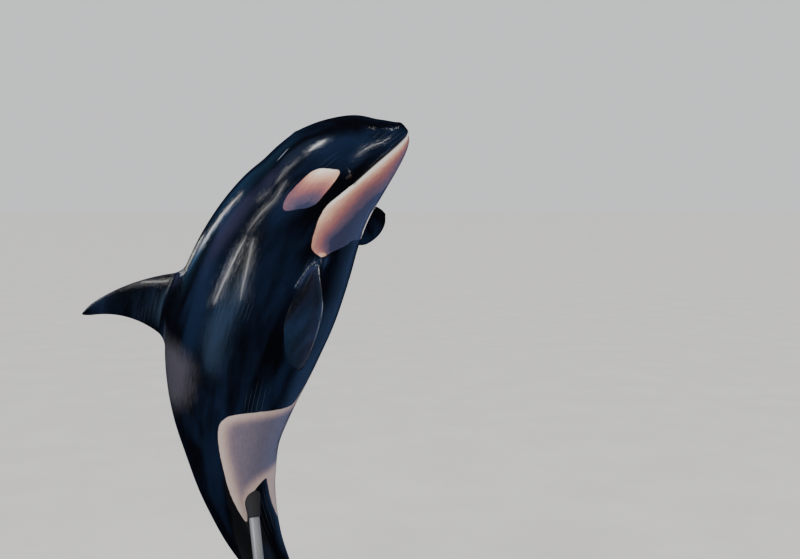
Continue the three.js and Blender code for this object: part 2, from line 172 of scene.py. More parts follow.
def body_point(at, left, up):
    """Points of the row's frame, by place along the axis and metres to the left and the back."""
    angle = bend_of(at)
    axis_x, axis_z = axis_point(at)
    x = axis_x - np.cos(angle) * up
    z = axis_z + np.sin(angle) * up
    y = left * math.cos(LEAN) - z * math.sin(LEAN)
    z = left * math.sin(LEAN) + z * math.cos(LEAN)
    return np.stack(np.broadcast_arrays(x, y, z), -1) + SNOUT


def straight(points, rounds=60, share=0.6):
    """The same the other way round."""
    x, y, z = (points - SNOUT).T
    left = y * math.cos(LEAN) + z * math.sin(LEAN)
    z = z * math.cos(LEAN) - y * math.sin(LEAN)
    at = np.full(len(points), 0.4)
    for _ in range(rounds):
        angle = bend_of(at)
        axis_x, axis_z = axis_point(at)
        off_x, off_z = x - axis_x, z - axis_z
        at = np.clip(at - share * (off_x * np.sin(angle) + off_z * np.cos(angle)) / LENGTH, 0, AXIS_END)
    return at, left, off_z * np.sin(angle) - off_x * np.cos(angle)


def sizes(at, above):
    """Half widths and heights from the axis in metres, and the sections' fullness."""
    root = np.sqrt(np.maximum(at, 1e-6))
    return half_of(root) * LENGTH, np.where(above, top_of(root), bottom_of(root)) * LENGTH, fullness_of(root)


def section(at, theta):
    """The skin's metres to the left and the back, where theta turns from back to left."""
    c, s = np.cos(theta), np.sin(theta)
    half, height, full = sizes(at, c >= 0)
    return half * np.sign(s) * np.abs(s) ** (2 / full), height * np.sign(c) * np.abs(c) ** (2 / full)


def skin_point(at, theta):
    left, up = section(at, theta)
    return body_point(at, left, up)


def skin_normal(at, theta, step=0.0015, turn=0.012):
    """The skin's outward directions."""
    at = np.maximum(at, 2 * step)
    along = skin_point(at + step, theta) - skin_point(at - step, theta)
    across = skin_point(at, theta + turn) - skin_point(at, theta - turn)
    out = np.cross(across, along)
    return out / np.linalg.norm(out, axis=-1, keepdims=True)


def theta_at(at, up, side):
    """The skin's theta at a height as a fraction of LENGTH, on one side."""
    _, height, full = sizes(at, up >= 0)
    return math.acos(math.copysign((abs(up) * LENGTH / height) ** (full / 2), up)) * side


def smooth(x, low, high):
    """Goes smoothly from 0 at low to 1 at high."""
    t = np.clip((x - low) / (high - low), 0, 1)
    return t * t * (3 - 2 * t)


def hump(x, width):
    return np.exp(-((x / width) ** 2))


# What is sculpted into the skin, as metres outward

class Spot:
    """A place on the skin with flat axes: x tailward and y round the body, or turned."""

    def __init__(self, at, theta, turn=0.0):
        self.centre = skin_point(at, theta)
        self.out = skin_normal(at, theta)
        tailward = skin_point(at + 0.001, theta) - self.centre
        tailward -= tailward @ self.out * self.out
        tailward /= np.linalg.norm(tailward)
        self.tailward = tailward * math.cos(turn) + np.cross(self.out, tailward) * math.sin(turn)
        self.round = np.cross(self.out, self.tailward)

    def flat(self, points):
        """Metres along both axes, and in all, from the middle."""
        off = points - self.centre
        return off @ self.tailward, off @ self.round, np.linalg.norm(off, axis=-1)


EYES = {side: Spot(EYE.at, theta_at(EYE.at, EYE.up, side)) for side in (RIGHT, LEFT)}
BLOWHOLE = Spot(0.128, 0.02)
SLIT = Spot(0.665, math.pi)
NAVEL = Spot(0.515, math.pi)
SCAR = Spot(0.147, theta_at(0.147, 0.0795, RIGHT), math.radians(16))
SCAR_SIZE = Named(half=0.085, wide=0.0055, deep=0.004)

LIDS = Named(half=0.026, above=0.0135, below=0.0105, mound=0.0095, spread=0.036, sunk=0.02)
# Folds beside the lids: 1 above or -1 below, depth, metres outside the lids, and half length
LID_FOLDS = [(1, 0.002, 0.0125, 0.04), (-1, 0.0015, 0.011, 0.035)]


def eyes_flat(points):
    """By eye: metres tailward, upward and in all from its middle, and outside its lids."""
    for side, spot in EYES.items():
        x, y, far = spot.flat(points)
        y = -y * side
        reach = np.where(y > 0, LIDS.above, LIDS.below)
        yield x, y, far, np.abs(y) - reach * (1 - (x / LIDS.half) ** 2)


def eyelids(points):
    total = np.zeros(len(points))
    for x, y, far, gap in eyes_flat(points):
        lid = LIDS.mound * hump(far, LIDS.spread) + 0.002 * hump(gap - 0.004, 0.003)
        for over, deep, out, half in LID_FOLDS:
            along = smooth(y * over, -0.004, 0.006) * smooth(half - np.abs(x), 0, 0.02)
            lid -= deep * hump(gap - out, 0.0025) * along
        opened = smooth(-gap, -0.001, 0.0025)
        total += np.where(far < 0.12, lid * (1 - opened) - LIDS.sunk * opened, 0)
    return total


def mouth_rise(at, up):
    """Metres above the mouth's line, which drops behind its corner."""
    behind = np.maximum(at - MOUTH.corner, 0)
    return up - (MOUTH.level + MOUTH.slope * at) * LENGTH + behind * LENGTH * MOUTH.drop


def along_mouth(at):
    """1 along the mouth, and 0 behind its corner."""
    return smooth(MOUTH.corner + 0.009 - at, 0, 0.008)


def mouth(at, up):
    rise = mouth_rise(at, up)
    groove = -0.011 * hump(rise, 0.0055)
    lips = 0.0035 * (hump(rise - 0.014, 0.011) + hump(rise + 0.013, 0.010))
    chin = -0.004 * smooth(-rise, 0, 0.012) * smooth(rise, -0.09, -0.02)
    return (groove + lips + chin) * along_mouth(at)


def blowhole_arc(points):
    """Metres off the blowhole's arc, 1 on it and 0 beyond its ends, and metres from its middle."""
    x, y, far = BLOWHOLE.flat(points)
    return np.abs(np.hypot(x + 0.034, y) - 0.046), smooth(x, -0.026, -0.008), far


def blowhole(points):
    arc, on_arc, far = blowhole_arc(points)
    hole = (0.006 * hump(arc, 0.02) - 0.014 * hump(arc, 0.006)) * on_arc
    return np.where(far < 0.3, hole + 0.007 * hump(far, 0.09), 0)


def slits(points):
    """The navel, and the slit below the tail stock's root."""
    x, y, far = SLIT.flat(points)
    slit = -0.012 * hump(y, 0.007) * smooth(0.11 - np.abs(x), 0, 0.04) + 0.006 * hump(y, 0.04) * hump(x, 0.11)
    total = np.where(far < 0.4, slit, 0)
    x, y, far = NAVEL.flat(points)
    return total + np.where(far < 0.2, -0.008 * hump(np.hypot(x * 0.6, y), 0.016), 0)


def scar(points):
    x, y, far = SCAR.flat(points)
    groove = -SCAR_SIZE.deep * hump(y, SCAR_SIZE.wide) * smooth(SCAR_SIZE.half - np.abs(x), 0, 0.05)
    return np.where(far < 0.15, groove, 0)


def form(at, theta, up):
    """Swells of muscle, the dents of nape and beak, and the throat's folds."""
    swell = 0.0040 * np.sin(at * 21 + 1.3 * np.sin(theta * 2 + 0.4)) * np.sin(theta * 3 + at * 9)
    swell += 0.0028 * np.sin(at * 47 + 2.1 * np.sin(theta + 1.1)) * np.cos(theta * 4 - at * 16)
    swell *= smooth(at, 0.04, 0.12) * smooth(0.93 - at, 0, 0.1)
    side = np.abs(np.sin(theta))
    nape = -0.010 * hump(at - 0.175 - 0.012 * side, 0.016) * smooth(up, 0.03 * LENGTH, 0.075 * LENGTH)
    beak = -0.003 * hump(at - 0.031 - 0.006 * side, 0.0075) * smooth(np.cos(theta), 0.25, 0.75)
    wave = np.sin((at * LENGTH / 0.088 + 0.5 * np.sin(theta * 3 + 1) + 0.8 * np.sin(at * 60)) * math.pi)
    depth = hump(at - 0.205, 0.030) * smooth(-up, 0.045 * LENGTH, 0.085 * LENGTH)
    folds = -0.0030 * hump(wave, 0.35) * depth
    return swell + nape + beak + folds


def sculpted(at, theta):
    """Points of the finished skin."""
    plain = skin_point(at, theta)
    _, up = section(at, theta)
    out = form(at, theta, up) + mouth(at, up) + eyelids(plain) + blowhole(plain) + slits(plain) + scar(plain)
    return plain + skin_normal(at, theta) * out[:, None]


# Meshes

def new_object(name, data):
    made = bpy.data.objects.new(name, data)
    bpy.context.scene.collection.objects.link(made)
    return made


def mesh_object(name, points, faces):
    mesh = bpy.data.meshes.new(name)
    mesh.from_pydata(points.tolist(), [], faces)
    return new_object(name, mesh)


def loft(rings, tip, end):
    """Points and faces of a closed skin over rings, with a point at each end."""
    rows, count = rings.shape[:2]
    points = np.vstack([rings.reshape(-1, 3), tip, end])
    nexts = [(k + 1) % count for k in range(count)]
    last = (rows - 1) * count
    rows = range(0, last, count)
    faces = [(r + k, r + n, r + count + n, r + count + k) for r in rows for k, n in enumerate(nexts)]
    for k, n in enumerate(nexts):
        faces += [(len(points) - 2, n, k), (len(points) - 1, last + k, last + n)]
    a, b, c = (points[[f[k] for f in faces]] - points.mean(0) for k in range(3))
    if np.einsum("ij,ij->", a, np.cross(b, c)) < 0:
        faces = [f[::-1] for f in faces]
    return points, faces


ROWS = np.concatenate([
    np.linspace(0.006, 0.12, 18, endpoint=False) ** 2,
    np.linspace(0.0144, 0.2, 108, endpoint=False),
    np.linspace(0.2, 0.5, 84, endpoint=False),
    np.linspace(0.5, TAIL_END, 96),
])
COLUMNS = 144
SIDE_CROWDING = 0.25  # draws the columns together at the flanks, where the mouth and the eyes are


def unique(items):
    """The items once each, in their order, so that all runs give one mesh."""
    return list(dict.fromkeys(items))


def places_of(shape, place):
    at, c, s = np.array([v[place] for v in shape.verts]).T
    return np.maximum(at, 1e-7), np.arctan2(s, c)


def refine(shape, place, reach):
    """Splits in four the faces that touch a small feature."""
    hit = nearly(*places_of(shape, place), reach)
    shape.verts.index_update()
    edges = unique(e for f in shape.faces if any(hit[v.index] for v in f.verts) for e in f.edges)
    bmesh.ops.subdivide_edges(shape, edges=edges, cuts=1, use_grid_fill=True)


def nearly(at, theta, reach):
    """Whether places are near a small feature, more narrowly from reach 1 to 3."""
    points = skin_point(at, theta)
    _, up = section(at, theta)
    hit = (np.abs(mouth_rise(at, up)) < 0.022 / reach) & (at < MOUTH.corner + 0.008)
    hit |= BLOWHOLE.flat(points)[2] < 0.11 / reach
    hit |= NAVEL.flat(points)[2] < 0.06
    x, y, far = SLIT.flat(points)
    hit |= (np.abs(y) < 0.06 / reach) & (np.abs(x) < 0.13) & (far < 0.3)
    hit &= reach < 3
    for _, _, far, gap in eyes_flat(points):
        hit |= (far < 0.10 / reach) & ((np.abs(gap) < 0.008) | (reach < 3))
    x, y, far = SCAR.flat(points)
    hit |= (np.abs(y) < 0.05 / reach**2) & (np.abs(x) < SCAR_SIZE.half + 0.01) & (far < 0.12)
    return hit | (near_root(at, theta) & (reach < 2))


def near_root(at, theta):
    """Whether each place is where a fin grows from the body."""
    left, up = section(at, theta)
    lead, trail = fin_edges(0)
    hit = (up > 0) & (np.abs(left) < 0.13) & (at > lead - 0.015) & (at < trail + 0.015)
    points = body_point(at, left, up)
    for side in (RIGHT, LEFT):
        root, (out, across, through) = flipper_axes(side)
        off = points - root
        hit |= (np.abs(off @ across) < 0.26) & (np.abs(off @ through) < 0.13) & (np.abs(off @ out) < 0.3)
    return hit | (at > 0.9)


def body_object():
    """The body without fins, its mesh finer at the small sculpted features."""
    t = np.linspace(-math.pi, math.pi, COLUMNS, endpoint=False)
    at, turn = np.meshgrid(ROWS, t + SIDE_CROWDING * np.sin(2 * t), indexing="ij")
    tip, tail = body_point(np.array([0.0, TAIL_END]), 0, 0)
    made = mesh_object("orca_skin", *loft(skin_point(at, turn), tip, tail))
    shape = bmesh.new()
    shape.from_mesh(made.data)
    place = shape.verts.layers.float_vector.new("place")
    sides = np.stack([at, np.cos(turn), np.sin(turn)], -1).reshape(-1, 3)
    for v, value in zip(shape.verts, [*sides, (0, 0, 0), (TAIL_END, 0, 0)]):
        v[place] = value
    for reach in (1, 2, 3):
        refine(shape, place, reach)
    for v, point in zip(shape.verts, sculpted(*places_of(shape, place))):
        if (v.co - Vector(tail)).length > 1e-4 and v[place][0] > 0:
            v.co = point
    shape.verts.layers.float_vector.remove(place)
    bmesh.ops.triangulate(shape, faces=[f for f in shape.faces if len(f.verts) > 4])
    shape.to_mesh(made.data)
    shape.free()
    return made


def streamline(chord):
    """Half thickness of a streamlined section that is at most one thick."""
    return 5 * (0.2969 * np.sqrt(chord) + np.polyval([-0.1036, 0.2843, -0.3516, -0.126, 0], chord))


def fin_object(name, vs, around, edges, thickness, to_point, ends=None):
    """A fin's closed mesh over places out, by its edges and half thicknesses."""
    phi = np.arange(around) / around * 2 * math.pi
    chord = (1 - np.cos(phi)) / 2
    rings = []
    for v in vs:
        lead, trail = edges(v)
        middle, edge = thickness(v)
        half = middle * streamline(chord) + edge * np.abs(np.sin(phi))
        rings.append(to_point(lead + (trail - lead) * chord, v, np.sign(np.sin(phi)) * half))
    tips = [to_point(np.array([sum(edges(v)) / 2]), v, 0) for v in ends or (vs[0], 1.0)]
    return mesh_object(name, *loft(np.array(rings), *tips))


def round_tip(edges, v, start):
    """Draws a fin's edges together into a round tip."""
    t = min(max((v - start) / (1 - start), 0), 1)
    middle = sum(edges) / 2
    return [middle + (edge - middle) * math.sqrt(1 - t * t) for edge in edges]


def taper(fin, v):
    """Half thickness of a fin and of its edges, both more at its root."""
    out = max(v, 0)
    root = math.exp(-out / fin.root_fade)
    return (fin.thick * (1 - fin.thinning * out) + fin.root_thick * root) / 2, EDGE + ROOT_EDGE * root


def rooted(start, fine, steps, count):
    """Places from start to nearly 1, closer together in the fine root and at the end."""
    tip = 1 - (1 - fine[1]) * (1 - np.arange(count) / count) ** 1.8
    return np.concatenate([[start], np.linspace(*fine, steps, endpoint=False), tip])


def fin_edges(v):
    out = max(v, 0)
    flare = FIN.flare * math.exp(-out * FIN.height / FIN.flare_height)
    lead = FIN.lead + FIN.sweep * out ** FIN.curve - flare
    trail = FIN.waist + FIN.hook * (out - FIN.waist_height) ** 2 + flare
    return round_tip([lead, trail], v, FIN.tip_from)


def dorsal_fin():
    def to_point(at, v, side):
        return body_point(at, side, (top_of(np.sqrt(at)) + v * FIN.height) * LENGTH)

    vs = rooted(-FIN.sink / FIN.height, (-0.12, 0.22), 30, 44)
    return fin_object("dorsal_fin_part", vs, 72, fin_edges, lambda v: taper(FIN, v), to_point)


def flipper_edges(v):
    out = min(max(v, 0), 1)
    grown = smooth(out, 0, FLIPPER.widest_at)
    share = FLIPPER.root_breadth + (1 - FLIPPER.root_breadth) * grown
    breadth = FLIPPER.breadth * share * (1 - out ** FLIPPER.tip_start) ** FLIPPER.tip_round
    return [-FLIPPER.ahead * breadth, (1 - FLIPPER.ahead) * breadth]


def flipper_axes(side):
    """A flipper's root, and its directions out, across and through."""
    pose = FLIPPER_POSE[side]
    angle = float(bend_of(FLIPPER.at))
    tail = Vector((-math.sin(angle), 0, -math.cos(angle)))
    back = Vector((-math.cos(angle), 0, math.sin(angle)))
    outside = Vector((0, side, 0))
    out = (tail * pose.tailward - back * pose.ventral + outside * pose.outward).normalized()
    across = tail * 0.9 - outside
    across = (across - out * across.dot(out)).normalized()
    across.rotate(Matrix.Rotation(math.radians(pose.roll) * side, 3, out))
    lean = Matrix.Rotation(LEAN, 3, "X")
    root = skin_point(FLIPPER.at, theta_at(FLIPPER.at, FLIPPER.up, side))
    return root, [np.array(lean @ axis) for axis in (out, across, out.cross(across))]


def flipper(side):
    root, (out, across, through) = flipper_axes(side)

    def to_point(chord, v, half):
        chord, half = np.broadcast_arrays(chord, half)
        return root + v * FLIPPER.length * out + np.outer(chord, across) + np.outer(half, through)

    vs = rooted(-FLIPPER.sink, (-0.16, 0.2), 36, 40)
    return fin_object("flipper_part", vs, 60, flipper_edges, lambda v: taper(FLIPPER, v), to_point)


def fluke_chord(v):
    """Places of the flukes' edges, before the notch and the round tips."""
    return FLUKE.lead + FLUKE.lead_sweep * v ** FLUKE.lead_curve, FLUKE.trail + FLUKE.tip_trail * v**2


def fluke_edges(v):
    lead, trail = fluke_chord(abs(v))
    return round_tip([lead, trail - FLUKE.notch * hump(v, FLUKE.notch_width)], abs(v), FLUKE.tip_from)


def flukes():
    def to_point(at, v, half):
        return body_point(at, v * FLUKE.half_span, half - FLUKE.droop * v * v)

    def thickness(v):
        return (FLUKE.thick + (FLUKE.tip_thick - FLUKE.thick) * math.sqrt(abs(v))) / 2, EDGE

    outer = rooted(0, (0.01, 0.16), 12, 40)
    vs = np.concatenate([-outer[:0:-1], outer])
    return fin_object("flukes_part", vs, 56, fluke_edges, thickness, to_point, (-1.0, 1.0))


# One skin over all of it

BODY_PART, DORSAL_PART, FLIPPER_PART, FLUKE_PART = range(4)
FILLETS = {DORSAL_PART: 0.085, FLIPPER_PART: 0.07, FLUKE_PART: 0.06}
ROOT_REACH = 0.13  # how far from the line of a root the mesh is made new
ROOT_MESH = 0.014  # the edges' length there
RIDGE = math.radians(35)


def closed_tree(made):
    mesh = made.data
    return BVHTree.FromPolygons([v.co for v in mesh.vertices], [tuple(f.vertices) for f in mesh.polygons])


def joined_skin(look):
    """The body and fins as one closed mesh. Material indices say which part a face is."""
    skin = body_object()
    grown = [(dorsal_fin(), DORSAL_PART), (flipper(RIGHT), FLIPPER_PART), (flipper(LEFT), FLIPPER_PART)]
    grown.append((flukes(), FLUKE_PART))
    body = closed_tree(skin)
    fins = [(closed_tree(made), FILLETS[part]) for made, part in grown]
    for made, part in [(skin, BODY_PART), *grown]:
        for _ in range(4):
            made.data.materials.append(look)
        made.data.polygons.foreach_set("material_index", np.full(len(made.data.polygons), part, np.int32))
    for made, _ in grown:
        join = skin.modifiers.new("join", "BOOLEAN")
        join.operation = "UNION"
        join.solver = "MANIFOLD"
        join.object = made
    bpy.context.view_layer.update()
    whole = bpy.data.meshes.new_from_object(skin.evaluated_get(bpy.context.evaluated_depsgraph_get()))
    skin.modifiers.clear()
    skin.data = whole
    for made, _ in grown:
        bpy.data.objects.remove(made)
    soften_roots(skin, body, fins)
    return skin


def outside_by(tree, place):
    """How far a place is outside a closed mesh, and the way out of it."""
    near, normal, _, far = tree.find_nearest(place)
    off = place - near
    sign = 1 if off.dot(normal) >= 0 else -1
    return sign * far, np.array(off * (sign / far) if far > 1e-3 else normal)


def onto_blend(place, body, fin, width):
    """A place moved onto the smooth blend of body and fin."""
    place = Vector(place)
    to_body, body_way = outside_by(body, place)
    to_fin, fin_way = outside_by(fin, place)
    share = min(max(0.5 + 0.5 * (to_fin - to_body) / width, 0), 1)
    out = to_fin * (1 - share) + to_body * share - width * share * (1 - share)
    way = fin_way * (1 - share) + body_way * share
    return np.array(place) - way * out / max(way @ way, 0.15)


def root_line(shape):
    return [v for v in shape.verts if len({f.material_index for f in v.link_faces}) > 1]


def ring(v):
    return [e.other_vert(v) for e in v.link_edges]


def on_ridge(v):
    """Whether a point is on a sharp edge, such as a fin's."""
    return any(e.calc_face_angle_signed(0) > RIDGE for e in v.link_edges)


def faces_near(shape, near):
    return unique(f for v in shape.verts if near(v.co) for f in v.link_faces)


def edges_near(shape, near):
    return unique(e for v in shape.verts if near(v.co) for e in v.link_edges)


def even_out(shape, near):
    """Splits long edges near the roots, merges short ones, and turns the rest."""
    bmesh.ops.triangulate(shape, faces=faces_near(shape, near))
    long = [e for e in edges_near(shape, near) if e.calc_length() > 1.5 * ROOT_MESH]
    bmesh.ops.subdivide_edges(shape, edges=long, cuts=1)
    bmesh.ops.triangulate(shape, faces=[f for f in shape.faces if len(f.verts) > 4])
    bmesh.ops.triangulate(shape, faces=faces_near(shape, near))
    short = [e for e in edges_near(shape, near) if e.calc_length() < 0.6 * ROOT_MESH]
    used, merged = set(), []
    for e in sorted(short, key=lambda e: e.calc_length()):
        a, b = e.verts
        if a in used or b in used or len({*ring(a)} & {*ring(b)}) != 2 or on_ridge(a) or on_ridge(b):
            continue
        used.update(ring(a), ring(b))
        merged.append(e)
    bmesh.ops.collapse(shape, edges=merged)
    faces = [f for f in faces_near(shape, near) if len(f.verts) == 3]
    flat = [e for e in unique(e for f in faces for e in f.edges) if abs(e.calc_face_angle_signed(0)) < RIDGE]
    bmesh.ops.beautify_fill(shape, faces=faces, edges=flat, method="AREA")
    shape.normal_update()


def relax(shape, near_by, body, fins, rounds):
    """Spreads the points near the roots over the smooth blend of body and fins."""
    shape.verts.index_update()
    shape.normal_update()
    points = np.array([v.co[:] for v in shape.verts])
    normals = np.array([v.normal[:] for v in shape.verts])
    weight = smooth(np.array([ROOT_REACH - near_by(v.co) for v in shape.verts]), 0, ROOT_REACH / 2)
    moved = np.flatnonzero(weight)
    fin_of = {k: min(fins, key=lambda fin: fin[0].find_nearest(Vector(points[k]))[3]) for k in moved}
    ends = np.array([[v.index for v in e.verts] for e in shape.edges])
    ends = ends[(weight[ends] > 0).any(1)]
    count = np.bincount(ends.ravel(), minlength=len(points)).clip(1)[:, None]
    for _ in range(rounds):
        total = np.zeros_like(points)
        for here, there in (ends.T, ends.T[::-1]):
            np.add.at(total, here, points[there])
        step = (total / count - points) * weight[:, None] * 0.5
        points += step - normals * (step * normals).sum(1)[:, None]
        for k in moved:
            points[k] = onto_blend(points[k], body, *fin_of[k])
    for k in moved:
        shape.verts[k].co = points[k]


def unfold(shape, near, rounds=8):
    """Smooths the places near the roots where triangles fold over."""
    faces = faces_near(shape, near)
    for _ in range(rounds):
        for f in faces:
            f.normal_update()
        folded = unique(v for f in faces for v in f.verts if f.normal.dot(v.normal) < 0.25)
        around = unique([*folded, *(n for v in folded for n in ring(v))])
        bmesh.ops.smooth_vert(
            shape, verts=around, factor=0.5, use_axis_x=True, use_axis_y=True, use_axis_z=True,
        )
        for v in around:
            v.normal_update()


def drop_flaps(shape):
    """Removes faces folded flat onto each other, and those that hang by one edge."""
    while True:
        same = {}
        for f in shape.faces:
            same.setdefault(frozenset(f.verts), []).append(f)
        flaps = [f for faces in same.values() if len(faces) > 1 for f in faces]
        flaps += [f for f in shape.faces if sum(e.is_boundary for e in f.edges) > 1]
        if not flaps:
            return
        bmesh.ops.delete(shape, geom=unique(flaps), context="FACES")


def soften_roots(skin, body, fins):
    """Rounds the skin where a fin grows from the body."""
    shape = bmesh.new()
    shape.from_mesh(skin.data)
    line = root_line(shape)
    beside = unique([*line, *(n for v in line for n in ring(v))])
    bmesh.ops.remove_doubles(shape, verts=beside, dist=0.004)
    line = root_line(shape)
    tree = kdtree.KDTree(len(line))
    for k, v in enumerate(line):
        tree.insert(v.co, k)
    tree.balance()

    def near_by(place):
        return tree.find(place)[2]

    def near(place):
        return near_by(place) < 0.8 * ROOT_REACH

    for rounds in (2, 3, 4):
        even_out(shape, near)
        shape.verts.ensure_lookup_table()
        relax(shape, near_by, body, fins, rounds)
    shape.normal_update()
    drop_flaps(shape)
    unfold(shape, near)
    shape.to_mesh(skin.data)
    shape.free()


# Markings, as outlines over places along the axis and heights as fractions of LENGTH

EYE_PATCH = [
    (0.1837, 0.0354), (0.1709, 0.0395), (0.1583, 0.0396), (0.1419, 0.0395), (0.13, 0.0387), (0.1202, 0.035),
    (0.1088, 0.0251), (0.1013, 0.0153), (0.1106, 0.0092), (0.13, 0.005), (0.15, 0.003), (0.1625, 0.0067),
    (0.1751, 0.018), (0.1858, 0.0285),
]
CHIN = [
    (-0.02, -0.0011), (0.0027, -0.0013), (0.0273, -0.0037), (0.0441, -0.0058), (0.0629, -0.008),
    (0.0904, -0.0108), (0.1183, -0.0106), (0.1439, -0.01), (0.1625, -0.0134), (0.1837, -0.0209),
    (0.204, -0.0286), (0.2123, -0.0357), (0.213, -0.0471), (0.2033, -0.059), (0.1794, -0.0738),
    (0.166, -0.082), (0.16, -0.13), (-0.02, -0.13),
]
FLANK_PATCH = [
    (0.5, -0.125), (0.5015, -0.0971), (0.5035, -0.0853), (0.503, -0.0645), (0.5043, -0.0414),
    (0.5095, -0.0185), (0.5184, 0.001), (0.5325, 0.012), (0.5525, 0.015), (0.593, 0.012), (0.6284, 0.0075),
    (0.67, 0.004), (0.705, -0.001), (0.735, -0.008), (0.715, -0.015), (0.69, -0.025), (0.67, -0.04),
    (0.66, -0.06), (0.66, -0.125),
]
SADDLE = [
    (0.433, 0.16), (0.4302, 0.1189), (0.4275, 0.0992), (0.4329, 0.0766), (0.4464, 0.06), (0.4765, 0.0541),
    (0.5127, 0.056), (0.538, 0.074), (0.555, 0.1), (0.56, 0.16),
]
# Half width of the white band along the belly: place, and fraction of LENGTH
BAND = np.array([
    [0.13, -0.1], [0.15, -0.01], [0.165, 0.006], [0.19, 0.009], [0.23, 0.009], [0.28, 0.01],
    [0.36, 0.013], [0.44, 0.019], [0.52, 0.036], [0.62, 0.036], [0.68, 0.026], [0.73, 0.014],
    [0.765, 0.002], [0.8, -0.02],
])


def rounded(outline, steps=6):
    """A closed outline as a smooth curve through its points."""
    p = np.array(outline)
    t = (np.arange(steps) / steps)[:, None]
    before, after, beyond = np.roll(p, 1, 0), np.roll(p, -1, 0), np.roll(p, -2, 0)
    spans = [
        0.5 * (2 * b + (c - a) * t + (2 * a - 5 * b + 4 * c - d) * t**2 + (3 * b - a - 3 * c + d) * t**3)
        for a, b, c, d in zip(before, p, after, beyond)
    ]
    return np.vstack(spans)


def inside_by(outline, at, up):
    """Metres inside a closed outline, negative outside."""
    p = rounded(outline) * LENGTH
    q = np.stack([at * LENGTH, up], 1)
    nearest = np.full(len(q), np.inf)
    crossings = np.zeros(len(q), int)
    for a, b in zip(p, np.roll(p, -1, 0)):
        ab = b - a
        t = np.clip((q - a) @ ab / max(ab @ ab, 1e-12), 0, 1)
        nearest = np.minimum(nearest, np.hypot(*(q - a - t[:, None] * ab).T))
        if a[1] != b[1]:
            spans = (a[1] > q[:, 1]) != (b[1] > q[:, 1])
            crossings += spans & (q[:, 0] < a[0] + (q[:, 1] - a[1]) * ab[0] / ab[1])
    return np.where(crossings % 2 == 1, nearest, -nearest)


def fluke_white(at, left, up):
    """Metres inside the white under the flukes."""
    v = np.clip(np.abs(left) / FLUKE.half_span, 0, 1)
    lead, trail = fluke_chord(v)
    chord = (at - lead) / np.maximum(trail - lead, 1e-3)
    inner = np.minimum(chord - 0.16, 0.88 - chord) * (trail - lead) * LENGTH
    inner = np.minimum(inner, np.minimum(0.9 - v, v - 0.09) * FLUKE.half_span)
    return np.where(up + FLUKE.droop * v * v < -0.001, inner, -0.05)


def on_plain_skin(at, left, up):
    """Places on the plain skin, seen from the axis, and their turn round it."""
    half, height, full = sizes(at, up >= 0)
    grown = np.maximum((np.abs(left / half) ** full + np.abs(up / height) ** full) ** (1 / full), 1e-3)
    return left / grown, up / grown, np.arctan2(left / half, up / height)


def painted_shade(at, up, turn):
    """How deep the painted shade on the white is, from cream in full light to slate in deep shade."""
    down = -up / LENGTH
    turn = np.degrees(np.abs(turn))
    within = inside_by(CHIN, at, up)
    breadth = 0.13 + 0.1 * smooth(at, 0.05, 0.15) - 0.13 * smooth(down, 0.035, 0.062)
    throat = 0.58 * smooth(within, -0.06, breadth) + 0.38 * smooth(turn, 94, 150) + 0.04
    throat += 0.48 * smooth(down, 0.042, 0.070)
    throat -= 0.26 * hump(within - 0.008, 0.024) * smooth(0.16 - at, 0, 0.05)  # painted highlight along the mouth
    throat += 0.2 * smooth(at, 0.15, 0.19) - 0.22 * smooth(0.1 - at, 0, 0.05)
    # Beyond the chin, the belly's band gets a fixed deep painted shade
    throat = np.where(within > -0.045, throat, 0.8)
    patch = 0.92 * smooth(at, 0.095, 0.178) + 0.38 * smooth(0.034 + down, 0, 0.024) - 0.18
    flank = 0.62 * smooth(inside_by(FLANK_PATCH, at, up), -0.006, 0.16) + 0.14 * smooth(turn, 90, 150) + 0.1
    shade = np.where(at > 0.4, flank, throat)
    return np.where(inside_by(EYE_PATCH, at, up) > -0.03, patch, shade)


def crease_shade(at, up, points):
    """How deep each place lies in the mouth, the lids, the blowhole or the slit, which sets the painted shade
    there.
    """
    deep = hump(mouth_rise(at, up), 0.0055) * along_mouth(at)
    for _, _, far, gap in eyes_flat(points):
        deep = np.maximum(deep, np.where(far < 0.08, smooth(-gap, -0.0035, 0.001), 0))
    arc, on_arc, far = blowhole_arc(points)
    deep = np.maximum(deep, np.where(far < 0.2, hump(arc, 0.006) * on_arc, 0))
    x, y, far = SLIT.flat(points)
    return np.maximum(deep, np.where(far < 0.3, 0.7 * hump(y, 0.006) * smooth(0.11 - np.abs(x), 0, 0.04), 0))


